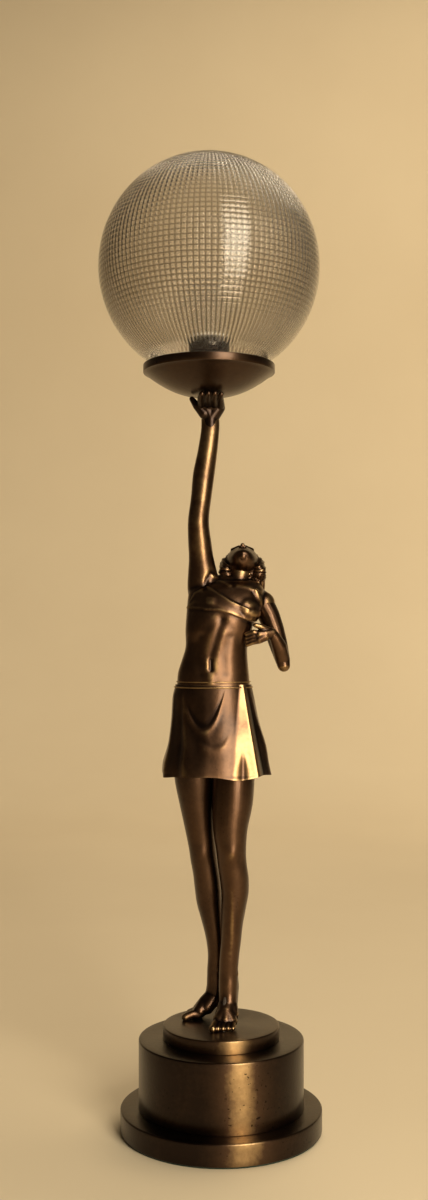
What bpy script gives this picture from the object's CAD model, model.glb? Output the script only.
import math

import bpy
import numpy as np
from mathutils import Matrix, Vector


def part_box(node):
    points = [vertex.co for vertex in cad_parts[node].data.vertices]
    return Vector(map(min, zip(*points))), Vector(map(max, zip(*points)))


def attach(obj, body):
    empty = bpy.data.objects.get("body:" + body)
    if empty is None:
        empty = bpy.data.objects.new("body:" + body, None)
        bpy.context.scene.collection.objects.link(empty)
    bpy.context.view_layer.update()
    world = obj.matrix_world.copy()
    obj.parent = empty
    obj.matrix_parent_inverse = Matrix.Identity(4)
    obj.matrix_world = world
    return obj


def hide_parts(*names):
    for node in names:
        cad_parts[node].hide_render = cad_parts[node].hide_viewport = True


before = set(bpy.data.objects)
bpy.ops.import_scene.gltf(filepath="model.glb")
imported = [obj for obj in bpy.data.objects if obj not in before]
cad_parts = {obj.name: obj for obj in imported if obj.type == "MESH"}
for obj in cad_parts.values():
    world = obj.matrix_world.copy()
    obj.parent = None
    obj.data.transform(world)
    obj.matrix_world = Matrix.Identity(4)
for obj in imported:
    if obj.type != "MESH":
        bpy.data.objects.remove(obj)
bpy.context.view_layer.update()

MM = 0.001

# --- Viewpoint ---
# Someone sitting in front of the lamp, with the camera at about half its height,
# looks at it square on; the lens is slid up a little to take in the whole lamp.
camera_data = bpy.data.cameras.new("camera")
camera_data.lens = 39
camera_data.sensor_width = 36
camera_data.shift_y = 0.0308
camera = bpy.data.objects.new("camera", camera_data)
bpy.context.scene.collection.objects.link(camera)
camera.location = (-0.0065, -1.175, 0.4445)
camera.rotation_euler = (math.radians(90), 0, 0)
bpy.context.scene.camera = camera


# --- Stage: floor, backdrop and lights ---
# A pale warm paper sweep runs under and far behind the lamp. A large soft window light and a low one
# under it stand at the right front, and four more light only the paper.
def only(ob):
    """Leaves this object alone selected and active."""
    bpy.ops.object.select_all(action="DESELECT")
    ob.select_set(True)
    bpy.context.view_layer.objects.active = ob


def mesh_object(name, points, faces):
    mesh = bpy.data.meshes.new(name)
    mesh.from_pydata([tuple(p) for p in points], [], [tuple(f) for f in faces])
    mesh.update()
    ob = bpy.data.objects.new(name, mesh)
    bpy.context.scene.collection.objects.link(ob)
    return ob


def new_material(name):
    """A material, its Principled shader, and makers of its nodes and links."""
    mat = bpy.data.materials.new(name)
    mat.use_nodes = True
    tree = mat.node_tree
    return mat, tree.nodes["Principled BSDF"], tree.nodes, tree.links


def noise(nodes, links, source, scale, detail=4.0, rough=0.55):
    n = nodes.new("ShaderNodeTexNoise")
    n.inputs["Scale"].default_value = scale
    n.inputs["Detail"].default_value = detail
    n.inputs["Roughness"].default_value = rough
    links.new(source, n.inputs["Vector"])
    return n.outputs["Fac"]


def ramp(nodes, links, source, stops):
    r = nodes.new("ShaderNodeValToRGB")
    while len(r.color_ramp.elements) < len(stops):
        r.color_ramp.elements.new(0.5)
    for element, (place, colour) in zip(r.color_ramp.elements, stops):
        element.position = place
        element.color = (*colour, 1) if len(colour) == 3 else colour
    links.new(source, r.inputs["Fac"])
    return r.outputs["Color"]


def maths(nodes, links, operation, a, b):
    m = nodes.new("ShaderNodeMath")
    m.operation = operation
    for socket, value in zip(m.inputs, (a, b)):
        if isinstance(value, (int, float)):
            socket.default_value = value
        else:
            links.new(value, socket)
    return m.outputs[0]


def bump(nodes, links, shader, height, strength, distance):
    b = nodes.new("ShaderNodeBump")
    b.inputs["Strength"].default_value = strength
    b.inputs["Distance"].default_value = distance
    links.new(height, b.inputs["Height"])
    links.new(b.outputs["Normal"], shader.inputs["Normal"])


paper_mat, paper_shader, nodes, links = new_material("warm_paper")
coords = nodes.new("ShaderNodeTexCoord").outputs["Object"]
links.new(
    ramp(nodes, links, noise(nodes, links, coords, 1.2),
         [(0.35, (0.66, 0.56, 0.395)), (0.65, (0.69, 0.59, 0.42))]),
    paper_shader.inputs["Base Color"],
)
paper_shader.inputs["Roughness"].default_value = 0.85
sweep_front, sweep_back, sweep_top, bend = -5.0, 3.4, 5.0, 1.6
line = [(sweep_front, 0.0), (sweep_back - bend, 0.0)]
line += [(sweep_back - bend + bend * math.sin(a), bend - bend * math.cos(a))
         for a in np.radians(np.linspace(5, 85, 17))]
line += [(sweep_back, bend), (sweep_back, sweep_top)]
sweep = mesh_object(
    "paper_sweep",
    [(x, y, z) for y, z in line for x in (-5.0, 5.0)],
    [(2 * i, 2 * i + 1, 2 * i + 3, 2 * i + 2) for i in range(len(line) - 1)],
)
for polygon in sweep.data.polygons:
    polygon.use_smooth = True
sweep.data.materials.append(paper_mat)


def soft_lamp(name, place, target, size, power, colour, shines=True, spreads=True):
    data = bpy.data.lights.new(name, "AREA")
    data.shape = "RECTANGLE"
    data.size, data.size_y = size
    data.energy = power
    data.color = colour
    ob = bpy.data.objects.new(name, data)
    bpy.context.scene.collection.objects.link(ob)
    ob.location = place
    ob.rotation_euler = (Vector(target) - Vector(place)).to_track_quat("-Z", "Y").to_euler()
    ob.visible_glossy = shines  # whether it gleams on metal and glass
    ob.visible_diffuse = spreads  # whether it lights matt things such as the paper


paper_tint = (1.0, 0.85, 0.63)
soft_lamp("window_light", (0.86, -1.66, 1.25), (0, 0, 0.5), (0.85, 1.5), 44, (1.0, 0.88, 0.68))
soft_lamp("low_window_light", (0.62, -1.36, 0.3), (0, 0, 0.16), (0.62, 0.4), 9.5, (1.0, 0.82, 0.58),
          spreads=False)
# the paper's own lights leave no gleam on the bronze or the glass
soft_lamp("wall_wash_right", (1.9, 1.5, 1.0), (1.7, 3.4, 0.7), (1.4, 1.0), 15, paper_tint, False)
soft_lamp("wall_wash_left", (-1.9, 1.5, 1.0), (-1.7, 3.4, 0.7), (1.4, 1.0), 6, paper_tint, False)
soft_lamp("wall_wash_top", (0.2, 1.5, 3.0), (0.2, 3.4, 2.6), (3.0, 0.8), 6, paper_tint, False)
soft_lamp("floor_light", (0.9, 1.2, 3.3), (0.6, 1.0, 0), (2.6, 2.4), 78, (1.0, 0.84, 0.62), False)
world = bpy.data.worlds.new("room")
world.use_nodes = True
world.node_tree.nodes["Background"].inputs["Color"].default_value = (1.0, 0.80, 0.58, 1)
world.node_tree.nodes["Background"].inputs["Strength"].default_value = 0.06
bpy.context.scene.world = world
bpy.context.scene.view_settings.view_transform = "Standard"


# --- Bronze finish and the stepped base ---
# Three turned bronze castings stand on each other: a wide low plinth, a tall hollow drum and a
# small disc. They are patinated dark brown and rubbed back to gold on their edges.
def bronze_material(name, dark, mid, gold, wear_gain, pits, low_rough, stretch):
    """Patinated bronze; the piece's own 'wear' attribute is high where hands and cloths rub it."""
    mat, shader, nodes, links = new_material(name)
    coords = nodes.new("ShaderNodeTexCoord").outputs["Object"]
    wear = nodes.new("ShaderNodeAttribute")
    wear.attribute_name = "wear"
    cloudy = noise(nodes, links, coords, 22, 5, 0.6)
    fine = noise(nodes, links, coords, 260, 4, 0.6)
    specks = noise(nodes, links, coords, 900, 3, 0.6)
    rubbed = maths(nodes, links, "MULTIPLY", wear.outputs["Fac"], wear_gain)
    rubbed = maths(nodes, links, "ADD", rubbed, maths(nodes, links, "MULTIPLY", cloudy, 0.3))
    rubbed = maths(nodes, links, "ADD", rubbed, maths(nodes, links, "MULTIPLY", fine, 0.1))
    colour = ramp(nodes, links, rubbed, [(0.33, dark), (0.55, mid), (0.88, gold)])
    where = ramp(nodes, links, noise(nodes, links, coords, 17, 1, 0.5), [(0.5, (0, 0, 0)), (0.62, (1, 1, 1))])
    hole = ramp(nodes, links, noise(nodes, links, coords, 330, 1, 0.4), [(0.27, (1, 1, 1)), (0.33, (0, 0, 0))])
    pit = maths(nodes, links, "SUBTRACT", 1.0, maths(nodes, links, "MULTIPLY", where, hole))
    mix = nodes.new("ShaderNodeMix")
    mix.data_type = "RGBA"
    mix.blend_type = "MULTIPLY"
    mix.inputs["Factor"].default_value = pits
    links.new(colour, mix.inputs[6])
    links.new(pit, mix.inputs[7])
    links.new(mix.outputs[2], shader.inputs["Base Color"])
    shader.inputs["Metallic"].default_value = 1.0
    rough = maths(nodes, links, "ADD", low_rough, maths(nodes, links, "MULTIPLY", cloudy, 0.14))
    rough = maths(nodes, links, "ADD", rough, maths(nodes, links, "MULTIPLY", specks, 0.07))
    links.new(rough, shader.inputs["Roughness"])
    shader.inputs["Coat Weight"].default_value = 0.25
    shader.inputs["Coat Roughness"].default_value = 0.22
    shader.inputs["Anisotropic"].default_value = stretch
    shader.inputs["Anisotropic Rotation"].default_value = 0.25
    height = maths(nodes, links, "ADD", maths(nodes, links, "MULTIPLY", fine, 0.7),
                   maths(nodes, links, "MULTIPLY", specks, 0.3))
    bump(nodes, links, shader, height, 0.22, 0.0006)
    return mat


bronze = bronze_material("antique_bronze", (0.026, 0.014, 0.009), (0.104, 0.055, 0.029),
                         (0.62, 0.42, 0.19), 0.5, 0.25, 0.24, 0.0)
base_bronze = bronze_material("turned_bronze", (0.022, 0.012, 0.008), (0.075, 0.042, 0.024),
                              (0.62, 0.42, 0.19), 0.5, 0.8, 0.27, 0.6)


def coordinates(ob):
    co = np.empty(len(ob.data.vertices) * 3)
    ob.data.vertices.foreach_get("co", co)
    return co.reshape(-1, 3)


def normals_of(ob):
    n = np.empty(len(ob.data.vertices) * 3)
    ob.data.vertices.foreach_get("normal", n)
    return n.reshape(-1, 3)


def put(ob, co):
    ob.data.vertices.foreach_set("co", co.reshape(-1))
    ob.data.update()


def neighbour_mean(edges, values):
    """The mean of each vertex's neighbours' values."""
    total = np.zeros_like(values)
    count = np.zeros(len(values))
    np.add.at(total, edges[:, 0], values[edges[:, 1]])
    np.add.at(total, edges[:, 1], values[edges[:, 0]])
    np.add.at(count, edges.reshape(-1), 1)
    count = np.maximum(count, 1)
    return total / (count[:, None] if values.ndim > 1 else count)


def rub(ob, reach=2, gain=1.0, extra=0.0):
    """Writes how much each place is rubbed: high on ridges and edges, low in hollows, and extra where told."""
    edges = np.empty(len(ob.data.edges) * 2, dtype=np.int64)
    ob.data.edges.foreach_get("vertices", edges)
    edges = edges.reshape(-1, 2)
    co, normal = coordinates(ob), normals_of(ob)
    flat = co
    for _ in range(reach):
        flat = neighbour_mean(edges, flat)
    ridge = ((co - flat) * normal).sum(1)
    spread = np.percentile(np.abs(ridge), 92) + 1e-9
    wear = np.clip(0.5 + 0.5 * gain * ridge / spread, 0, 1)
    wear = neighbour_mean(edges, neighbour_mean(edges, wear))
    wear = np.clip(wear + extra, 0, 1)
    layer = ob.data.attributes.new("wear", "FLOAT", "POINT")
    layer.data.foreach_set("value", wear.astype(np.float32))


def handled(ob, amount):
    """Extra rubbing where hands reach a tier, in front and a little to the right."""
    co = coordinates(ob)
    away = np.degrees(np.arctan2(co[:, 0], -co[:, 1])) - 14
    return amount * (np.exp(-(away / 17) ** 2) - 0.4)


def apply_modifiers(ob):
    only(ob)
    for modifier in list(ob.modifiers):
        bpy.ops.object.modifier_apply(modifier=modifier.name)


def settle(ob, body, material, nodes=(), angle=50):
    """Finishes a piece: smooth shading, material, the body it rides on and what it stands for."""
    only(ob)
    bpy.ops.object.transform_apply(location=True, rotation=True, scale=True)
    bpy.ops.object.shade_smooth_by_angle(angle=math.radians(angle))
    ob.data.materials.clear()
    ob.data.materials.append(material)
    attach(ob, body)
    if nodes:
        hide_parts(*nodes)


def turned(name, outline, centre=(0, 0), steps=160):
    """Spins an outline of (radius, height) round the vertical through centre, as on a lathe."""
    outline_ob = mesh_object(name, [(centre[0] + r, centre[1], z) for r, z in outline], [])
    mesh = outline_ob.data
    mesh.edges.add(len(outline) - 1)
    for i, edge in enumerate(mesh.edges):
        edge.vertices = (i, i + 1)
    only(outline_ob)
    bpy.ops.object.mode_set(mode="EDIT")
    bpy.ops.mesh.select_all(action="SELECT")
    bpy.ops.mesh.spin(steps=steps, angle=2 * math.pi, center=(centre[0], centre[1], 0), axis=(0, 0, 1))
    bpy.ops.mesh.select_all(action="SELECT")
    bpy.ops.mesh.remove_doubles(threshold=1e-6)
    bpy.ops.mesh.normals_make_consistent(inside=False)
    bpy.ops.object.mode_set(mode="OBJECT")
    return outline_ob


def quarter(r, z, e, count=6):
    """Points of a rounded top edge at radius r and height z."""
    return [(r - e + e * math.cos(a), z - e + e * math.sin(a)) for a in np.radians(np.linspace(0, 90, count))]


def foot_round(r, z, e, count=4):
    """Points of a rounded bottom edge, from below outwards."""
    return [(r - e + e * math.sin(a), z + e - e * math.cos(a)) for a in np.radians(np.linspace(0, 90, count))]


plinth_low, plinth_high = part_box("plinth")
drum_low, drum_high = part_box("drum")
disc_low, disc_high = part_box("top_disc")
plinth_top = drum_low.z
for name, r, low_z, high_z, wall, web in (
    ("plinth", plinth_high.x, plinth_low.z, plinth_top, 5 * MM, 6 * MM),
    ("drum", drum_high.x, drum_low.z, drum_high.z, 5 * MM, 5 * MM),
):
    outline = [(0, high_z - web), (r - wall, high_z - web), (r - wall, low_z)]
    outline += foot_round(r, low_z, 0.8 * MM) + [(r, low_z + (high_z - low_z) * t) for t in (0.25, 0.5, 0.75)]
    outline += quarter(r, high_z, 1.4 * MM) + [(r * t, high_z) for t in (0.9, 0.75, 0.5, 0.25)] + [(0, high_z)]
    tier = turned(name + "_casting", outline, steps=192)
    rub(tier, 1, 0.9, handled(tier, 0.6))
    settle(tier, "lamp", base_bronze, [name])
disc_r = disc_high.x
outline = [(0, disc_low.z)] + foot_round(disc_r, disc_low.z, 0.7 * MM) + [(disc_r, (disc_low.z + disc_high.z) / 2)]
outline += quarter(disc_r, disc_high.z, 1.2 * MM)
outline += [(disc_r * t, disc_high.z) for t in (0.9, 0.7, 0.45, 0.2)] + [(0, disc_high.z)]
disc = turned("top_disc_casting", outline, steps=160)
rub(disc, 1, 0.9, handled(disc, 0.45))
settle(disc, "lamp", base_bronze, ["top_disc"])


# --- Figure: legs and feet ---
# The dancer's bare legs are hollow bronze castings. She stands on the balls of her feet, the left
# foot in front with its toes towards the viewer, the right one behind it and turned out.
sole_z = disc_high.z
hand_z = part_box("dish")[0].z
drawn_sole, drawn_height = 95.0, 567.0  # millimetres, in the figure as it is drawn below
grow = (hand_z - sole_z) / (drawn_height * MM)


def to_lamp(co):
    """Carries places drawn in millimetres to the lamp's own soles and height."""
    out = np.asarray(co, float) * MM * grow
    out[..., 2] += sole_z - drawn_sole * MM * grow
    return out


def smooth_rows(rows, steps):
    """Rows of section values with smooth rows put between them."""
    rows = np.array(rows, float)
    out = []
    for i in range(len(rows) - 1):
        a, b = rows[max(i - 1, 0)], rows[i]
        c, d = rows[i + 1], rows[min(i + 2, len(rows) - 1)]
        for t in np.arange(steps) / steps:
            out.append(0.5 * (2 * b + (c - a) * t + (2 * a - 5 * b + 4 * c - d) * t ** 2
                              + (3 * b - a - 3 * c + d) * t ** 3))
    return np.array(out + [rows[-1]])


def skin(name, rings):
    """A closed solid through rings of equally many points, capped at both ends."""
    rings = np.asarray(rings)
    count, n = rings.shape[:2]
    faces = [(r * n + i, r * n + (i + 1) % n, (r + 1) * n + (i + 1) % n, (r + 1) * n + i)
             for r in range(count - 1) for i in range(n)]
    faces += [tuple(range(n - 1, -1, -1)), tuple((count - 1) * n + i for i in range(n))]
    return mesh_object(name, rings.reshape(-1, 3), faces)


def lofted(name, rows, n=40, steps=5, square=2.0):
    """A limb through level sections: height, x, y, half width, half depth."""
    rings = []
    t = np.linspace(0, 2 * math.pi, n, endpoint=False)
    c, s = np.cos(t), np.sin(t)
    c, s = np.sign(c) * np.abs(c) ** (2 / square), np.sign(s) * np.abs(s) ** (2 / square)
    for z, x, y, a, b in smooth_rows(rows, steps):
        rings.append(np.stack([x + a * c, y + b * s, np.full(n, z)], 1))
    return skin(name, rings)


def bar(a, b, n=20):
    """A round-ended bar between two places, each (x, y, z, radius)."""
    a, b = np.array(a, float), np.array(b, float)
    axis = b[:3] - a[:3]
    length = np.linalg.norm(axis) + 1e-9
    axis = axis / length
    side = np.cross(axis, [0.3, 1, 0.2])
    side /= np.linalg.norm(side)
    other = np.cross(axis, side)
    t = np.linspace(0, 2 * math.pi, n, endpoint=False)[:, None]
    circle = np.cos(t) * side + np.sin(t) * other
    rings = []
    for u in np.radians([-84, -65, -42, -20, 0]):
        rings.append(a[:3] + a[3] * (math.sin(u) * axis + math.cos(u) * circle))
    for u in np.radians([0, 20, 42, 65, 84]):
        rings.append(b[:3] + b[3] * (math.sin(u) * axis + math.cos(u) * circle))
    return skin("bar", rings)


def joined(name, parts):
    only(parts[0])
    for part in parts[1:]:
        part.select_set(True)
    if len(parts) > 1:
        bpy.ops.object.join()
    parts[0].name = name
    parts[0].data.name = name
    return parts[0]


def fused(name, parts, voxel, smoothing):
    """Joins overlapping solids into one skin, as clay is smoothed together."""
    ob = joined(name, parts)
    remesh = ob.modifiers.new("fuse", "REMESH")
    remesh.mode = "VOXEL"
    remesh.voxel_size = voxel
    relax = ob.modifiers.new("relax", "SMOOTH")
    relax.factor = 0.5
    relax.iterations = smoothing
    apply_modifiers(ob)
    return ob


def swell(co, centre, radii, amount, direction):
    """Moves places near centre by amount along direction, falling off smoothly."""
    d2 = (((co - np.array(centre)) / np.array(radii)) ** 2).sum(1)
    return co + np.exp(-d2)[:, None] * amount * np.array(direction, float)


def foot_parts(side, at, turn):
    """A foot on its ball: toes along -Y before the turn; side is 1 for the left foot."""
    ankle, heel = (0, 1.5, 142, 8.2), (side * 1.2, 10.5, 126, 6.6)
    arch, instep = (0, -1.0, 115, 8.2), (-side * 0.6, -9.5, 107.5, 7.6)
    ball_in, ball_out = (-side * 5.2, -15.5, 102, 6.2), (side * 5.2, -14.5, 101, 5.6)
    ball = (0, -15.5, 101.6, 6.4)
    pairs = [(ankle, heel), (ankle, arch), (heel, arch), (arch, instep), (instep, ball_in), (instep, ball_out),
             (ball_in, ball_out), (instep, ball), (heel, (side * 2.5, -2, 108, 6)), (arch, (side * 4, -8, 105, 6.8)),
             (arch, (-side * 4, -9, 105, 6.8))]
    for i in range(5):
        x = -side * (8.4 - 4.15 * i)
        size = 3.5 if i == 0 else 2.75 - 0.12 * i
        knuckle = (x * 0.92, -22.5 + 0.9 * i, 100.2, size + 0.15)
        tip = (x * 1.04, -29.4 + 1.3 * i, 97.9, size)
        pairs += [((x * 0.82, -17.5, 99.8, size + 0.9), knuckle), (knuckle, tip)]
    for bone in (-1, 1):
        pairs.append(((bone * 6.3, 0.5, 139.5, 2.9), (bone * 5.8, 1.0, 146, 2.6)))
    c, s = math.cos(math.radians(turn)), math.sin(math.radians(turn))
    turned_pairs = []
    for pair in pairs:
        turned_pairs.append([(at[0] + c * x - s * y, at[1] + s * x + c * y, z, r) for x, y, z, r in pair])
    return [bar(a, b) for a, b in turned_pairs]


def flat_sole(co):
    """Presses what reaches below the soles flat."""
    co[:, 2] = np.maximum(co[:, 2], drawn_sole)
    return co


left_rows = [(108, 6.2, -4, 6.8, 8), (114, 6.2, -1, 8, 9.2), (122, 6.3, 1.5, 8.5, 9.4), (131, 6.4, 2, 8.7, 9.3),
             (140, 6.6, 2.2, 8.6, 9), (153, 7.2, 1, 8.8, 9.2), (169, 8.8, 0.2, 9.1, 10.4),
             (185, 9.8, -0.2, 9.9, 12.2), (200, 11.2, -1, 11.2, 14), (214, 12.4, -2, 12.4, 15),
             (228, 11.6, -4.4, 13.2, 14.6), (241, 9.8, -7.4, 13.2, 13.6), (254, 8.8, -9.2, 13.6, 14.4),
             (272, 8.1, -9, 15.6, 16), (294, 9.9, -7, 18.4, 18.4), (318, 10.8, -5, 19.3, 20),
             (352, 11.6, -2, 18.8, 20)]
left = fused("left_leg_casting", [lofted("leg", left_rows)] + foot_parts(1, (6.6, 1.5), -11), 0.62, 9)
co = coordinates(left)
co = swell(co, (8.6, -23, 250), (7, 7, 8), 1.3, (0, -1, 0))
co = swell(co, (0.5, -20, 246), (4, 9, 9), 0.8, (1, 0, 0))
co = swell(co, (17, -20, 246), (4, 9, 9), 0.8, (-1, 0, 0))
co = swell(co, (9, 10, 248), (7, 7, 9), 1.2, (0, -1, 0))
co = swell(co, (9.6, -13, 195), (3, 6, 30), 0.9, (0, -1, 0))
put(left, to_lamp(flat_sole(co)))
rub(left, 10, 0.5, -0.06)
settle(left, "lamp", bronze, ["left_leg"])

right_rows = [(108, -8, 22.4, 8, 6.6), (114, -6.4, 22.4, 8.8, 7.6), (122, -5, 22.4, 8.5, 8.1),
              (131, -4.7, 22.4, 8.3, 8.4),
              (139, -4.7, 22.4, 8.1, 8.6), (153, -4, 21.4, 8.2, 9), (169, -5.2, 19.6, 9, 10.4),
              (185, -8, 18.4, 10.2, 12), (200, -10.6, 16.4, 11.6, 13.4), (214, -12, 13.6, 12.1, 14.2),
              (228, -13.6, 11, 12, 13.8), (241, -15.6, 8.6, 12.2, 13.2), (254, -17.2, 7.2, 12.5, 13.6),
              (272, -19.8, 6, 13.5, 15.4), (294, -22.6, 4, 15.4, 17.6), (318, -24.4, 2, 18, 19),
              (352, -25, 1, 18, 19.6)]
right = fused("right_leg_casting", [lofted("leg", right_rows)] + foot_parts(-1, (-4.6, 22.4), -83), 0.62, 12)
co = coordinates(right)
co = swell(co, (-18, -6, 248), (7, 7, 8), 1.2, (0, -1, 0))
co = swell(co, (-17, 21, 248), (7, 7, 9), 1.0, (0, -1, 0))
put(right, to_lamp(flat_sole(co)))
rub(right, 10, 0.3, -0.12)
settle(right, "lamp", bronze, ["right_leg"])


# --- Figure: torso and raised arm ---
# The body arches back, the right arm straight up under the dish. Torso and arm are two castings
# pinned at the shoulder, with the seam chased smooth; a draped top is modelled in the wax.
torso_rows = [(352, -6, -1, 36.2, 25.8), (370, -5.8, -2.5, 35, 25.2), (391, -7, -4, 33.6, 23.8),
              (402, -7, -5, 32.8, 22.8), (413, -7, -6, 31.8, 21.8), (424, -5.8, -7, 29.6, 20.8),
              (436, -4.2, -8, 27.8, 20.4), (450, -2.4, -8.6, 29.8, 21), (463, 0, -8, 31.4, 21.6),
              (473, 3, -6, 33.6, 21), (482, 4.4, -3, 34.2, 19.6), (489, 5, 0, 32.6, 17.2), (495, 8, 4, 25, 12.5)]
arm_rows = [(476, -13.6, 2, 15.4, 13.6), (489, -15.6, 1.5, 15, 13.4), (503, -16.8, 0.5, 13.2, 12.6),
            (516, -18, -0.5, 11.3, 11.8), (530, -19.3, -2.2, 10.6, 11), (549, -20.5, -4, 9.6, 10.4),
            (570, -18, -4.4, 9.4, 10), (592, -15.6, -3, 9.9, 9.6), (613, -12.2, -1.5, 9, 8.6),
            (632, -9.9, 0, 8.4, 7.2),
            (642, -9.9, 0, 8.2, 7), (649, -10.2, 0, 6.5, 6)]
parts = [lofted("trunk", torso_rows, 56, 5, 2.15), lofted("arm", arm_rows)]
parts += [
    bar((-8, 3, 491, 9), (10, 7, 493, 8.5)),
    bar((24, 6, 485, 9.5), (38, 2, 475, 11)),
    bar((14, 7, 486, 10.5), (17.5, 10, 503, 9.8)),
    bar((17.5, 10, 503, 9.8), (18.5, 14, 509, 10)),
    bar((20, -11.8, 468, 15.2), (16, -9, 470, 16)),
    bar((-7, -12.2, 471, 14.6), (-6, -8, 474, 15)),
    bar((6, -9, 474, 16), (10, -8, 466, 17)),
]
upper = fused("upper_body", parts, 0.85, 22)


def near_line(points, path):
    """The distance of each place from a line of points."""
    path = np.array(path, float)
    best = np.full(len(points), 1e9)
    for a, b in zip(path[:-1], path[1:]):
        d = b - a
        t = np.clip(((points - a) @ d) / (d @ d), 0, 1)
        best = np.minimum(best, np.linalg.norm(points - a - t[:, None] * d, axis=1))
    return best


def step(value, low, high):
    """0 below low, 1 above high, smooth between."""
    t = np.clip((value - low) / (high - low), 0, 1)
    return t * t * (3 - 2 * t)


def carve(co, normal, where, path, width, depth):
    """Cuts a soft groove along a line drawn on the front or back: depth below 0 raises a ridge."""
    flat = co[:, [0, 2]]
    d = near_line(flat, path)
    return co - normal * (where * depth * np.exp(-(d / width) ** 2))[:, None]


only(upper)
co, normal = coordinates(upper), normals_of(upper)
front = step(-normal[:, 1], 0.05, 0.45)
back = step(normal[:, 1], 0.05, 0.45)
# belly: the middle groove, the hollows beside the ribs, the navel and the hips
co = carve(co, normal, front, [(1, 460), (-3, 448), (-9, 428)], 3.6, 0.75)
co = carve(co, normal, front, [(-9.3, 423.5), (-9.3, 416)], 2.0, 1.5)
co = carve(co, normal, front, [(-9.6, 408), (-9.6, 404)], 4.5, -0.8)
co = carve(co, normal, front, [(-1, 460), (10, 450), (18, 438)], 4.6, 0.4)
co = carve(co, normal, front, [(-1, 460), (-12, 452), (-22, 440)], 4.6, 0.35)
co = carve(co, normal, front, [(7, 444), (2, 428), (3, 412)], 4.2, 0.55)
co = carve(co, normal, front, [(-18, 444), (-20, 428), (-18, 412)], 4.2, 0.45)
# back: the spine, the shoulder blades and the muscle under the raised arm
co = carve(co, normal, back, [(14, 492), (8, 465), (-2, 435), (-6, 404)], 3.6, 1.8)
co = carve(co, normal, back, [(26, 480), (22, 460)], 6, -1.5)
co = carve(co, normal, back, [(-8, 484), (-6, 464)], 6, -1.5)
co = carve(co, normal, back, [(-16, 482), (-24, 462), (-26, 446)], 4, -1.0)
# collar bone and the hollow of the throat
co = carve(co, normal, front, [(14, 490), (24, 489), (35, 484)], 1.8, -0.8)
co = carve(co, normal, front, [(8, 490), (0, 494), (-8, 500)], 1.8, -0.7)
# the draped top: a raised cloth between two lines, with soft diagonal folds
upper_line = [(-40, 463), (-31, 471), (-24, 484), (-13, 490), (8.5, 476), (25, 468.5), (40, 467)]
lower_line = [(-40, 471), (-15, 469), (-4, 468.5), (9, 465), (23, 459.5), (40, 456)]


def line_height(x, path):
    xs, zs = zip(*path)
    return np.interp(x, xs, zs)


x, z = co[:, 0], co[:, 2]
top_z, low_z = line_height(x, upper_line), line_height(x, lower_line)
on_trunk = (z < 500).astype(float) * (1 - step(z - 486 - np.maximum(0, -x - 10), 0, 10))
in_front = step(-normal[:, 1], -0.5, 0.1)
cloth = step(z, low_z - 0.7, low_z + 0.5) * (1 - step(z, top_z - 0.5, top_z + 0.7)) * in_front * on_trunk
back_band = step(z, 461, 462.4) * (1 - step(z, 478, 479.4)) * (1 - in_front)
across = (z - low_z) / np.maximum(top_z - low_z, 2)
folds = np.sin(across * 9 + x * 0.07) * 0.14 * step(across, 0.02, 0.3)
lift = cloth * (0.6 + folds) + back_band * 0.6
co = co + normal * lift[:, None]
co = carve(co, normal, in_front * on_trunk, upper_line[3:6], 0.9, -0.55)
co = carve(co, normal, in_front * on_trunk, lower_line[1:5], 0.9, -0.5)
co = carve(co, normal, front, [(-15, 488), (-12.5, 496), (-8, 502)], 2.4, 1.0)
# the cloth that hangs from her left shoulder beside the chest
co = carve(co, normal, step(-normal[:, 1], -0.3, 0.2), [(31, 486), (35.5, 477), (37, 465), (34, 454)], 1.6, -0.9)
co = carve(co, normal, step(-normal[:, 1], -0.3, 0.2), [(28, 484), (32, 474), (33.5, 464), (31, 456)], 2.2, 0.5)
put(upper, co)

# hand under the dish: the palm is cupped, the fingers reach up to the bowl
hand = [
    bar((-9.8, 0, 632, 7.0), (-9.8, 0, 643, 7.8)),
    bar((-9.8, 0, 643, 7.8), (-14.2, -2, 651.5, 7)),
    bar((-9.8, 0, 643, 7.8), (-3.4, -1.5, 651.5, 7)),
    bar((-14.2, -2, 651.5, 7), (-3.4, -1.5, 651.5, 7)),
    bar((-9.8, 6, 650, 6.6), (-9.4, 5, 655, 6)),
    bar((-15.5, -4, 645.5, 4.8), (-22, -5, 652.5, 3.6)),
    bar((-22, -5, 652.5, 3.6), (-26.4, -4.5, 658.8, 2.4)),
]
for i, x in enumerate((-17.4, -11.8, -6.2, -0.8)):
    out = (-16.8, -19.4, -19.2, -16.2)[i]
    middle = (x * 1.04, out, 657.4, 3.3 - 0.1 * i)
    hand += [bar((x, -6, 653, 4.1), middle), bar(middle, (x * 1.04 + 0.8, out - 6.4, 659.8, 2.6 - 0.08 * i))]
palm = fused("palm", hand, 0.5, 3)
rub(upper, 8, 0.8, 0.07)
rub(palm, 8, 0.35, -0.3)
arm_and_body = joined("upper_body", [upper, palm])

# the two castings are parted at the shoulder and each is closed there
shoulder_z, reach_x = 499.0, 2.5


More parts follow.
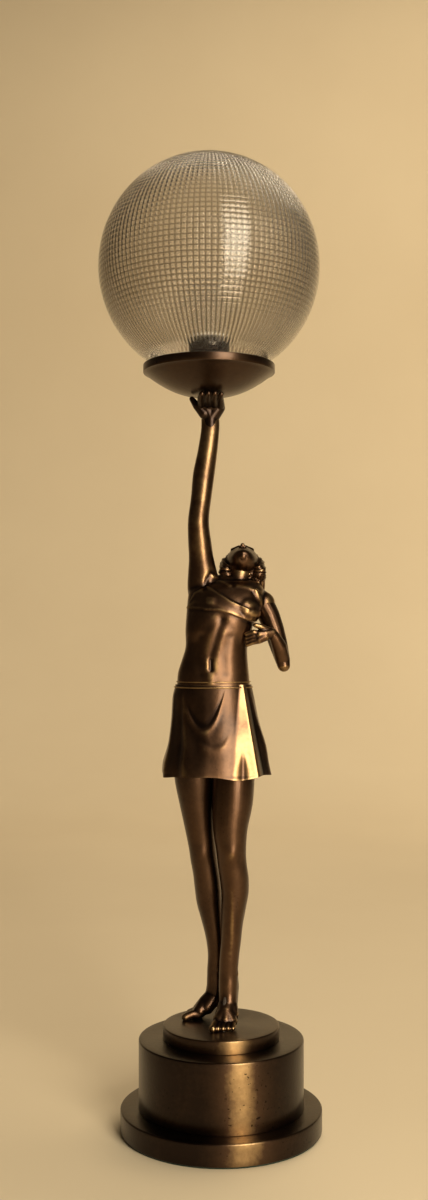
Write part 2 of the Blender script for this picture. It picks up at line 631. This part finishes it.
def cut_off(ob, plane_co, plane_no, keep):
    """A copy of the part on one side of a plane that `keep` picks, closed at the cut."""
    only(ob)
    bpy.ops.object.duplicate()
    piece = bpy.context.view_layer.objects.active
    bpy.ops.object.mode_set(mode="EDIT")
    bpy.ops.mesh.select_all(action="SELECT")
    bpy.ops.mesh.bisect(plane_co=plane_co, plane_no=plane_no)
    bpy.ops.mesh.select_all(action="DESELECT")
    bpy.ops.object.mode_set(mode="OBJECT")
    mesh = piece.data
    centres = np.empty(len(mesh.polygons) * 3)
    mesh.polygons.foreach_get("center", centres)
    drop = ~keep(centres.reshape(-1, 3))
    mesh.polygons.foreach_set("select", drop)
    bpy.ops.object.mode_set(mode="EDIT")
    bpy.ops.mesh.select_mode(type="FACE")
    bpy.ops.mesh.delete(type="FACE")
    bpy.ops.mesh.select_mode(type="VERT")
    bpy.ops.mesh.select_all(action="SELECT")
    bpy.ops.mesh.fill_holes(sides=0)
    bpy.ops.mesh.normals_make_consistent(inside=False)
    bpy.ops.object.mode_set(mode="OBJECT")
    return piece


def is_arm(c):
    return (c[:, 2] > shoulder_z) & (c[:, 0] < reach_x)


raised = cut_off(arm_and_body, (0, 0, shoulder_z), (0, 0, 1), is_arm)
trunk = cut_off(arm_and_body, (0, 0, shoulder_z), (0, 0, 1), lambda c: ~is_arm(c))
bpy.data.objects.remove(arm_and_body)
for ob, name, node in ((raised, "raised_arm_casting", "raised_arm"), (trunk, "torso_casting", "torso")):
    ob.name = name
    ob.data.name = name
    put(ob, to_lamp(coordinates(ob)))
    settle(ob, "lamp", bronze, [node])


# --- Figure: bent arm ---
# Her left arm hangs from the shoulder, the elbow out and down and the hand at her side under the
# chest. It is a casting pinned to the shoulder.
arm = [
    bar((37, 2, 475, 10.8), (43, 0.5, 464, 10.0)),
    bar((43, 0.5, 464, 10.0), (47.5, -1, 452, 9.2)),
    bar((47.5, -1, 452, 9.2), (51.5, -3, 438, 8.4)),
    bar((51.5, -3, 438, 8.4), (55.2, -6, 424, 6.8)),
    bar((55.2, -6, 424, 6.8), (56.2, -6.5, 419, 5.9)),
    bar((55.2, -6, 424, 6.8), (52, -11.5, 435.5, 6.8)),
    bar((52, -11.5, 435.5, 6.8), (48.4, -15.5, 443, 5.5)),
    bar((48.4, -15.5, 443, 5.5), (45, -18, 448, 4.7)),
    bar((45, -18, 448, 4.7), (38.5, -20.5, 447, 5.0)),
    bar((38.5, -20.5, 447, 5.0), (33.5, -22, 446.5, 4.4)),
    bar((38.5, -20.5, 445.5, 5.0), (33.5, -21.5, 442.5, 4.2)),
    bar((41, -19.5, 450.5, 3.4), (35, -22.5, 453.5, 2.7)),
    bar((35, -22.5, 453.5, 2.7), (30, -23.5, 455, 2.2)),
]
for i in range(4):
    knuckle = (28.5 - 0.3 * i, -23.6 + 0.5 * i, 448.6 - 3.0 * i, 2.6 - 0.1 * i)
    tip = (22.4 + 0.2 * i, -22.6 + 0.5 * i, 446.8 - 3.1 * i, 2.2 - 0.1 * i)
    arm += [bar((33.5, -22, 447 - 1.8 * i, 3.3), knuckle), bar(knuckle, tip)]
bent = fused("bent_arm_casting", arm, 0.5, 5)
put(bent, to_lamp(coordinates(bent)))
rub(bent, 8, 0.8)
settle(bent, "lamp", bronze, ["bent_arm"])


# --- Figure: skirt ---
# A short flared skirt, cast thin and open below, its top edge soldered round the waist. It falls
# in soft folds, with a draped loop of cloth in front and a flat bright panel at her left front.
skirt_rows = [(320.5, -4.3, -1, 48.4, 39), (331, -5, -1.5, 47.2, 37.2), (348, -4, -2, 44, 34.2),
              (369, -5.6, -2.6, 39.6, 29.8), (390, -7, -4, 36.8, 27), (399, -7, -4.8, 34.8, 25),
              (402, -7, -5, 34.3, 24.3)]
# folds: the angle round from +X at the waist and at the hem, how far the ridge stands out, and how
# wide it is in degrees before and after its crest
skirt_folds = [(222, 238, 3.2, 8, 15), (334, 350, 1.7, 9, 12),
               (196, 200, 1.6, 9, 9), (22, 20, 2.4, 9, 9), (50, 48, 3.0, 9, 9), (78, 76, 2.6, 9, 9),
               (106, 106, 3.0, 9, 9),
               (132, 134, 2.6, 9, 9), (160, 164, 2.6, 9, 9), (258, 256, 0.8, 12, 9)]
loops = [(-16.3, 362, 0.088, -30, 0, 0.62), (-8, 345, 0.05, -18, 6, 0.32)]


skirt_top, skirt_drop = 402, 81.5


def skirt_hang(z):
    """0 at the waist and 1 at the hem."""
    return np.clip((skirt_top - z) / skirt_drop, 0, 1)


def skirt_ring(z, cx, cy, a, b, inward, n):
    t = np.linspace(0, 2 * math.pi, n, endpoint=False)
    deg = np.degrees(t)
    hang = skirt_hang(z)
    w = np.full(n, -inward, float)
    for at_waist, at_hem, out, before, after in skirt_folds:
        away = (deg - at_waist - (at_hem - at_waist) * hang + 180) % 360 - 180
        width = np.where(away < 0, before, after) * (0.4 + 0.6 * hang)
        w += out * hang ** 0.9 * np.exp(-(away / width) ** 2)
    x = cx + (a + w) * np.cos(t)
    y = cy + (b + w) * np.sin(t)
    facing = step(-np.sin(t), 0.25, 0.7)
    for x0, z0, curve, x_low, x_high, height in loops:
        line_z = z0 + curve * (x - x0) ** 2
        within = step(x, x_low - 5, x_low + 3) * (1 - step(x, x_high - 3, x_high + 5))
        d = z - line_z
        ridge = np.where(d < 0, np.exp(-(d / 6.5) ** 2), 1.5 * np.exp(-(d / 1.7) ** 2) - 0.5 * np.exp(-(d / 7) ** 2))
        y = y - height * ridge * within * facing * (1 if inward < 0.5 else 0.6)
    # the gore at her left front: a flat panel that widens to the hem, with a small pleat low in it
    left, right = 15.8 - 6.1 * hang, 19.5 + 13.5 * hang
    corner = cy - (b - inward) * math.sqrt(1 - ((left - cx) / (a - inward)) ** 2)
    panel = corner + 0.24 * (x - left)
    inside = step(x, left - 2.5, left + 1) * (1 - step(x, right - 0.5, right + 3 + 2 * hang)) * (np.sin(t) < 0)
    y = y + (np.minimum(panel, y) - y) * inside
    pleat = step(347 - z, 0, 22)
    y = y + 1.3 * pleat * np.exp(-((x - 19) / (1.2 + 2.4 * pleat)) ** 2) * inside
    hem = 1.5 * np.cos(np.radians(4 * (deg - 250))) + 0.8 * np.sin(np.radians(7 * deg))
    return np.stack([x, y, z + hem * hang ** 4 * 0.8], 1)


n_round = 320
skirt_sections = smooth_rows(skirt_rows, 12)
rings = [skirt_ring(*s, 0.0, n_round) for s in skirt_sections]
rings += [skirt_ring(*s, 1.5, n_round) for s in skirt_sections[::-1]]
rings = np.array(rings)
count = len(rings)
faces = [(r * n_round + i, r * n_round + (i + 1) % n_round, ((r + 1) % count) * n_round + (i + 1) % n_round,
          ((r + 1) % count) * n_round + i) for r in range(count) for i in range(n_round)]
skirt = mesh_object("skirt_casting", to_lamp(rings.reshape(-1, 3)), faces)
flat = rings.reshape(-1, 3)
hang = skirt_hang(flat[:, 2])
on_panel = step(flat[:, 0], 14 - 6 * hang, 18 - 6 * hang) * (1 - step(flat[:, 0], 18 + 13.5 * hang, 22 + 13.5 * hang))
rub(skirt, 8, 0.7, 0.36 * on_panel * (flat[:, 1] < -10) - 0.3 * step(-flat[:, 2], -323.5, -321))
settle(skirt, "lamp", bronze, ["skirt"], 60)

# the waistband: two fine cords with a plain strip between them
band = []
cord_n = 160
for z0, out, size in ((404.4, 32.9, 0.65), (399.6, 34.9, 0.7)):
    t = np.linspace(0, 2 * math.pi, cord_n, endpoint=False)
    ring = []
    for u in np.radians(np.arange(0, 360, 45)):
        r_out = size * math.cos(u)
        ring.append(np.stack([-7 + (out + r_out) * np.cos(t), -5 + (out - 10 + r_out) * np.sin(t),
                              np.full(cord_n, z0 + size * math.sin(u))], 1))
    ring = np.array(ring)
    m = len(ring)
    cord_faces = [(j * cord_n + i, j * cord_n + (i + 1) % cord_n,
                   ((j + 1) % m) * cord_n + (i + 1) % cord_n, ((j + 1) % m) * cord_n + i)
                  for j in range(m) for i in range(cord_n)]
    band.append(mesh_object("waist_cord", to_lamp(ring.reshape(-1, 3)), cord_faces))
waistband = joined("waistband", band)
rub(waistband, 1, 0.6, 0.25)
settle(waistband, "lamp", bronze)


# --- Figure: head ---
# The head is thrown right back on the neck. Its face is plain and calm; the hair is a short bob
# that hangs away from it in combed strands.
def head_place(co):
    """Turns a head modelled upright, facing -Y with its middle at the origin, back onto the neck."""
    tilt = math.radians(76)
    c, s = math.cos(tilt), math.sin(tilt)
    x, y, z = co[:, 0], co[:, 1], co[:, 2]
    # tipping back carries the face (-Y) up to +Z
    return np.stack([x + 19.5, y * c + z * s + 16, z * c - y * s + 510], 1)


face_rows = [(-21.5, 0, -10, 3.6, 4.2), (-19.5, 0, -9.4, 6.8, 7.6), (-15.5, 0, -7.6, 9.8, 10.4),
             (-10, 0, -5, 12.2, 12.9), (-4, 0, -3, 14.0, 14.9), (3, 0, -1.2, 15.2, 16.4),
             (10, 0, 1, 15, 17), (16, 0, 3, 13, 15), (20.5, 0, 4, 9, 10.5), (23, 0, 5, 4, 5)]
face = [
    lofted("skull", face_rows, 40, 5),
    bar((0, 4, 3, 16.5), (0, 8, 4, 18)),
    bar((0, -17.4, 1.5, 1.6), (0, -19.8, -5, 2.0)),
    bar((-1.8, -18.2, -5.8, 1.5), (1.8, -18.2, -5.8, 1.5)),
    bar((-9, -13.6, 4.4, 1.9), (-3, -16.4, 4.4, 1.7)),
    bar((9, -13.6, 4.4, 1.9), (3, -16.4, 4.4, 1.7)),
    bar((-3.4, -16.4, -10.6, 1.2), (3.4, -16.4, -10.6, 1.2)),
    bar((-2.8, -16.2, -12.7, 1.35), (2.8, -16.2, -12.7, 1.35)),
    bar((0, -13.6, -17.6, 4.0), (0, -12, -18, 4.6)),
]
face_ob = fused("face", face, 0.44, 5)
co = coordinates(face_ob)
for sx in (-1, 1):
    co = swell(co, (sx * 5.8, -15.5, 0.6), (3.2, 4, 2.4), 1.5, (0, 1, 0))
    co = swell(co, (sx * 5.8, -14.5, 0.3), (2.4, 3.5, 1.6), 1.1, (0, -1, 0))
co = swell(co, (0, -16.6, -8.4), (1.2, 3, 1.8), 0.4, (0, 1, 0))
co = swell(co, (0, -17, -11.65), (4.2, 3, 0.5), 0.6, (0, 1, 0))
co = swell(co, (0, -15, -14.8), (4, 3, 1.2), 0.6, (0, 1, 0))
put(face_ob, co)

hair_bars = [bar((0, 5, 7, 19.6), (0, 9, 5, 20.0)), bar((-13, 0, 5, 7.5), (-15.5, 4, -8, 6.2)),
             bar((13, 0, 5, 7.5), (15.5, 4, -8, 6.2)), bar((-13, 10, -4, 8.5), (13, 10, -4, 8.5)),
             bar((-11, 16, -8, 8), (11, 16, -8, 8)), bar((-15, 7, -9, 6.5), (-12, 15, -14, 6)),
             bar((15, 7, -9, 6.5), (12, 15, -14, 6)), bar((13.5, 8, -4, 7.5), (14.5, 20, -6, 5.6)),
             bar((14.5, 20, -6, 5.6), (12, 23, -10, 5)), bar((-13, 8, -4, 6.8), (-11, 15, -6, 5.4))]
hair = fused("hair", hair_bars, 0.5, 6)
co, normal = coordinates(hair), normals_of(hair)
round_head = np.arctan2(co[:, 0], co[:, 1] - 4)
hanging = np.arctan2(co[:, 0], co[:, 2] - 6)
round_head = round_head + (hanging - round_head) * step(co[:, 1], 4, 12)
strand = np.sin(round_head * 34 + 0.9 * np.sin(co[:, 2] * 0.22) + 1.3 * np.sin(round_head * 5))
strand += 0.5 * np.sin(round_head * 71 + co[:, 2] * 0.15)
low_share = step(-co[:, 2], -22, 4)
co = co + normal * (0.42 * strand * (0.35 + 0.65 * low_share))[:, None]
put(hair, co)
head = joined("head_casting", [face_ob, hair])
put(head, to_lamp(head_place(coordinates(head))))
rub(head, 6, 0.9)
settle(head, "lamp", bronze, ["head"])


# --- Dish ---
# A shallow spun bronze bowl with a plain upright band, screwed to the hand by the hollow stud that
# carries the flex. It has a seat inside for the globe.
dish_low, dish_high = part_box("dish")
head_x = (dish_low.x + dish_high.x) / 2
dish_r = (dish_high.x - dish_low.x) / 2
rim_top = dish_high.z
band_h, bowl_top, boss_r, dish_wall = 7.3 * MM, 1.5 * MM, 9 * MM, 2.5 * MM
rim_low = rim_top - band_h
bowl_h = rim_low - dish_low.z


def bowl_at(r):
    share = max(r - boss_r, 0) / (dish_r - bowl_top - boss_r)
    return dish_low.z + bowl_h * share ** 1.9


nipple_r = 5.05 * MM
outline = [(nipple_r, dish_low.z), (boss_r, dish_low.z)]
outline += [(r, bowl_at(r)) for r in np.linspace(boss_r + 2 * MM, dish_r - bowl_top, 22)]
outline += [(dish_r - 0.35 * MM, rim_low + 0.1 * MM), (dish_r, rim_low + 0.6 * MM), (dish_r, (rim_low + rim_top) / 2)]
outline += quarter(dish_r, rim_top, 0.9 * MM)
outline += [(dish_r - 2.3 * MM, rim_top), (dish_r - dish_wall, rim_top - 0.4 * MM),
            (dish_r - dish_wall, rim_low + 2 * MM),
            (dish_r - dish_wall - 3.2 * MM, rim_low), (44 * MM, rim_low)]
outline += [(r, bowl_at(r) + dish_wall) for r in np.linspace(41 * MM, 18 * MM, 12)]
outline += [(nipple_r + 4 * MM, dish_low.z + 3.5 * MM), (nipple_r, dish_low.z + 3.5 * MM), (nipple_r, dish_low.z)]
dish = turned("dish_spinning", outline, (head_x, 0), 192)
rub(dish, 1, 0.9)
settle(dish, "lamp", base_bronze, ["dish"])


# --- Globe ---
# A pressed clear glass globe. Ribs run round its outside and flutes down its inside, so that they
# cross in a fine net; the lowest part is plain, with a neck that sits on a cork ring in the dish.
globe_low, globe_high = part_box("globe")
globe_r = (globe_high.x - globe_low.x) / 2
globe_z = globe_high.z - globe_r
neck_r, glass_t = 49 * MM, 3 * MM
flute_count, rib_pitch = 120, 4.65 * MM
rib_depth, flute_depth = 0.55 * MM, 0.75 * MM


def rib_share(down):
    """How deep the net is at an angle down from the top: it fades at the top and towards the neck."""
    return step(down, 8, 55) * (1 - step(down, 121, 132))


def flute_share(down):
    return step(down, 8, 50) * (1 - step(down, 139, 146))


outer_end = 180 - math.degrees(math.asin(neck_r / globe_r))
inner_r = globe_r - glass_t
inner_end = 180 - math.degrees(math.asin((neck_r - glass_t) / inner_r))
outer_n, inner_n = 192, flute_count * 4
rings_out, rings_in = 236, 84
down = np.linspace(0.4, outer_end, rings_out)
reach = globe_r * np.radians(down)
r_out = globe_r - rib_depth * rib_share(down) * (0.5 - 0.5 * np.cos(2 * math.pi * reach / rib_pitch))
outer = [(r * math.sin(math.radians(d)), globe_z + r * math.cos(math.radians(d))) for r, d in zip(r_out, down)]
outer += [(neck_r, globe_low.z + 4 * MM), (neck_r, globe_low.z + 0.6 * MM), (neck_r - 0.6 * MM, globe_low.z)]
t = np.linspace(0, 2 * math.pi, outer_n, endpoint=False)
points = [(head_x + r * math.cos(u), r * math.sin(u), z) for r, z in outer for u in t]
n = outer_n
faces = [(i * n + j, (i + 1) * n + j, (i + 1) * n + (j + 1) % n, i * n + (j + 1) % n)
         for i in range(len(outer) - 1) for j in range(n)]
faces.append(tuple(range(n)))
first_inner = len(points)
t = np.linspace(0, 2 * math.pi, inner_n, endpoint=False)
down_in = np.linspace(0.4, inner_end, rings_in)
inner = []
for d in down_in:
    wave = flute_depth * flute_share(d) * (0.5 + 0.5 * np.cos(flute_count * t))
    inner.append((inner_r + wave, math.radians(d)))
for r, d in inner:
    points += list(zip(head_x + r * np.sin(d) * np.cos(t), r * np.sin(d) * np.sin(t), globe_z + r * np.cos(d)))
for z in (globe_low.z + 3 * MM, globe_low.z):
    rr = neck_r - glass_t
    points += [(head_x + rr * math.cos(u), rr * math.sin(u), z) for u in t]
n = inner_n
faces += [(first_inner + i * n + j, first_inner + i * n + (j + 1) % n, first_inner + (i + 1) * n + (j + 1) % n,
           first_inner + (i + 1) * n + j) for i in range(rings_in + 1) for j in range(n)]
faces.append(tuple(first_inner + j for j in range(n - 1, -1, -1)))
globe = mesh_object("prismatic_globe", points, faces)
edge_out = set(range((len(outer) - 1) * outer_n, len(outer) * outer_n))
edge_in = set(range(first_inner + (rings_in + 1) * inner_n, first_inner + (rings_in + 2) * inner_n))
only(globe)
for edge in globe.data.edges:
    a, b = edge.vertices
    edge.select = (a in edge_out and b in edge_out) or (a in edge_in and b in edge_in)
for vertex in globe.data.vertices:
    vertex.select = vertex.index in edge_out or vertex.index in edge_in
for polygon in globe.data.polygons:
    polygon.select = False
bpy.ops.object.mode_set(mode="EDIT")
bpy.ops.mesh.select_mode(type="EDGE")
bpy.ops.mesh.bridge_edge_loops()
bpy.ops.mesh.select_all(action="SELECT")
bpy.ops.mesh.normals_make_consistent(inside=False)
bpy.ops.object.mode_set(mode="OBJECT")

glass, shader, nodes, links = new_material("pressed_glass")
coords = nodes.new("ShaderNodeTexCoord").outputs["Object"]
centre = nodes.new("ShaderNodeMapping")
centre.vector_type = "POINT"
centre.inputs["Location"].default_value = (-head_x, 0, -globe_z)
links.new(coords, centre.inputs["Vector"])
split = nodes.new("ShaderNodeSeparateXYZ")
links.new(centre.outputs["Vector"], split.inputs[0])
turn = maths(nodes, links, "ARCTAN2", split.outputs["Y"], split.outputs["X"])
length = nodes.new("ShaderNodeVectorMath")
length.operation = "LENGTH"
links.new(centre.outputs["Vector"], length.inputs[0])
tip = maths(nodes, links, "ARCCOSINE",
            maths(nodes, links, "DIVIDE", split.outputs["Z"], length.outputs["Value"]), 0.0)
# the pressed valleys look like dark lines: one set across, one set up and down, fading where the net ends
across_line, upright_line = (
    maths(nodes, links, "COSINE", maths(nodes, links, "MULTIPLY", angle, per_radian), 0.0)
    for angle, per_radian in ((tip, 2 * math.pi * globe_r / rib_pitch), (turn, float(flute_count)))
)
shader.inputs["Transmission Weight"].default_value = 0.96
shader.inputs["IOR"].default_value = 1.5
shader.inputs["Specular IOR Level"].default_value = 0.22
zone = ramp(nodes, links, maths(nodes, links, "DIVIDE", tip, math.pi),
            [(0.03, (0, 0, 0)), (0.16, (0.35, 0.3, 0)), (0.40, (0.7, 0.7, 0)), (0.62, (1, 1, 0)),
             (0.735, (0.1, 1, 0)), (0.785, (0, 1, 0)), (0.81, (0, 0, 0))])
zones = nodes.new("ShaderNodeSeparateColor")
links.new(zone, zones.inputs[0])
# the net is a little frosted by its mould, the plain part below it is clear
frost = ramp(nodes, links, noise(nodes, links, coords, 60), [(0.3, (0.05,) * 3), (0.8, (0.11,) * 3)])
links.new(maths(nodes, links, "ADD", 0.03, maths(nodes, links, "MULTIPLY", zones.outputs[1], frost)),
          shader.inputs["Roughness"])
half_wave = []
for wave in (across_line, upright_line):
    wave = maths(nodes, links, "SUBTRACT", 0.5, maths(nodes, links, "MULTIPLY", wave, 0.5))
    half_wave.append(maths(nodes, links, "POWER", wave, 2.5))
dark_net = maths(nodes, links, "MAXIMUM",
                 maths(nodes, links, "MULTIPLY", half_wave[0], zones.outputs[0]),
                 maths(nodes, links, "MULTIPLY", half_wave[1], zones.outputs[1]))
links.new(ramp(nodes, links, dark_net, [(0.15, (0.90, 0.88, 0.85)), (0.9, (0.38, 0.34, 0.28))]),
          shader.inputs["Base Color"])
settle(globe, "globe", glass, ["globe"], 80)


# --- Lampholder, bulb and what is inside ---
# A moulded lampholder stands on the stud in the dish, with a brass screw shell in a ceramic
# insert. A small clear bulb is screwed into it.
def plain_metal(name, colour, rough, grain):
    mat, shader, nodes, links = new_material(name)
    coords = nodes.new("ShaderNodeTexCoord").outputs["Object"]
    cloudy = noise(nodes, links, coords, 60, 5, 0.6)
    links.new(ramp(nodes, links, cloudy, [(0.3, tuple(c * 0.75 for c in colour)), (0.7, colour)]),
              shader.inputs["Base Color"])
    shader.inputs["Metallic"].default_value = 1.0
    links.new(maths(nodes, links, "ADD", rough - 0.08, maths(nodes, links, "MULTIPLY", cloudy, 0.16)),
              shader.inputs["Roughness"])
    bump(nodes, links, shader, noise(nodes, links, coords, grain, 3, 0.6), 0.15, 0.0004)
    return mat


def dull(name, low_colour, high_colour, rough, scale, depth):
    mat, shader, nodes, links = new_material(name)
    coords = nodes.new("ShaderNodeTexCoord").outputs["Object"]
    grain = noise(nodes, links, coords, scale, 5, 0.65)
    links.new(ramp(nodes, links, grain, [(0.3, low_colour), (0.7, high_colour)]), shader.inputs["Base Color"])
    links.new(maths(nodes, links, "ADD", rough - 0.05, maths(nodes, links, "MULTIPLY", grain, 0.1)),
              shader.inputs["Roughness"])
    bump(nodes, links, shader, grain, 0.4, depth)
    return mat


steel = plain_metal("zinc_plated_steel", (0.56, 0.56, 0.55), 0.34, 900)
brass = plain_metal("turned_brass", (0.74, 0.52, 0.22), 0.3, 700)
aluminium = plain_metal("rolled_aluminium", (0.8, 0.79, 0.77), 0.28, 700)
iron = dull("cast_iron_black", (0.02, 0.02, 0.02), (0.07, 0.066, 0.062), 0.8, 300, 0.0008)
felt = dull("green_felt", (0.012, 0.03, 0.018), (0.03, 0.055, 0.035), 0.95, 1800, 0.001)
rubber = dull("black_rubber", (0.012, 0.012, 0.012), (0.03, 0.03, 0.03), 0.6, 400, 0.0003)
ceramic = dull("glazed_ceramic", (0.66, 0.62, 0.54), (0.78, 0.75, 0.68), 0.25, 90, 0.0002)
bakelite = dull("dark_bakelite", (0.014, 0.009, 0.006), (0.032, 0.02, 0.013), 0.22, 120, 0.0001)
cork = dull("cork_ring", (0.16, 0.09, 0.045), (0.36, 0.23, 0.13), 0.85, 500, 0.0008)
flex = dull("braided_flex", (0.03, 0.02, 0.015), (0.07, 0.05, 0.035), 0.7, 1500, 0.0006)
bulb_glass = glass.copy()
bulb_glass.name = "bulb_clear_glass"

holder_low, holder_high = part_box("lampholder_body")[0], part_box("lampholder_skirt")[1]
skirt_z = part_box("lampholder_skirt")[0].z
holder_r = holder_high.x - head_x
shell_r = (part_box("screw_shell")[1].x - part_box("screw_shell")[0].x) / 2
outline = [(nipple_r, holder_low.z)] + foot_round(holder_r - 0.5 * MM, holder_low.z, 2.6 * MM)
outline += [(holder_r - 0.5 * MM, skirt_z - 3 * MM), (holder_r - 1.1 * MM, skirt_z - 2.2 * MM),
            (holder_r - 1.1 * MM, skirt_z - 1.4 * MM), (holder_r - 0.5 * MM, skirt_z - 0.8 * MM),
            (holder_r - 0.5 * MM, skirt_z), (holder_r - 1.9 * MM, skirt_z),
            (holder_r - 1.9 * MM, holder_low.z + 3 * MM),
            (nipple_r, holder_low.z + 3 * MM), (nipple_r, holder_low.z)]
cup = turned("lampholder_cup", outline, (head_x, 0), 96)
settle(cup, "lamp", bakelite, ["lampholder_body"])
outline = [(holder_r - 1.4 * MM, skirt_z), (holder_r, skirt_z)]
rib_z = np.linspace(skirt_z + 1.5 * MM, holder_high.z - 8 * MM, 25)
outline += [(holder_r - 0.35 * MM * (i % 2), z) for i, z in enumerate(rib_z)]
outline += quarter(holder_r, holder_high.z, 1.2 * MM)
outline += [(shell_r + 0.05 * MM, holder_high.z), (shell_r + 0.05 * MM, holder_high.z - 1.5 * MM),
            (holder_r - 1.4 * MM, holder_high.z - 1.5 * MM), (holder_r - 1.4 * MM, skirt_z)]
collar = turned("lampholder_collar", outline, (head_x, 0), 96)
settle(collar, "lamp", bakelite, ["lampholder_skirt"])

cap_low, cap_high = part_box("bulb_cap")
cap_r = cap_high.x - head_x
turns = np.linspace(cap_low.z + 4 * MM, cap_high.z - 4 * MM, 33)
outline = [(5 * MM, cap_low.z), (7 * MM, cap_low.z), (cap_r - 0.9 * MM, cap_low.z + 3 * MM)]
outline += [(cap_r - 0.45 * MM + 0.45 * MM * math.cos(i * math.pi / 2), z) for i, z in enumerate(turns)]
outline += [(cap_r - 0.3 * MM, cap_high.z - 2.5 * MM), (cap_r - 0.3 * MM, cap_high.z), (cap_r - 0.8 * MM, cap_high.z),
            (cap_r - 1.5 * MM, cap_low.z + 4 * MM), (6.6 * MM, cap_low.z + 0.6 * MM), (5 * MM, cap_low.z + 0.6 * MM),
            (5 * MM, cap_low.z)]
cap = turned("bulb_screw_cap", outline, (head_x, 0), 96)
settle(cap, "bulb", aluminium, ["bulb_cap"])

finishes = {
    steel: ["bottom_plate", "plate_screws", "tie_rod", "base_washer", "base_nut",
            "front_stud", "rear_stud", "stud_nuts"],
    brass: ["earth_terminal", "nipple", "nipple_nut", "screw_shell", "centre_contact", "bulb_contact"],
    iron: ["ballast_weight"],
    felt: ["felt_pad"],
    rubber: ["cable_grommet"],
    ceramic: ["terminal_block", "contact_insert"],
    cork: ["globe_gasket"],
    flex: ["lead"],
    bulb_glass: ["bulb_glass", "bulb_stem"],
}
for material, names in finishes.items():
    for name in names:
        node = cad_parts[name]
        node.data.materials.clear()
        node.data.materials.append(material)
        only(node)
        bpy.ops.object.shade_smooth_by_angle(angle=math.radians(35))
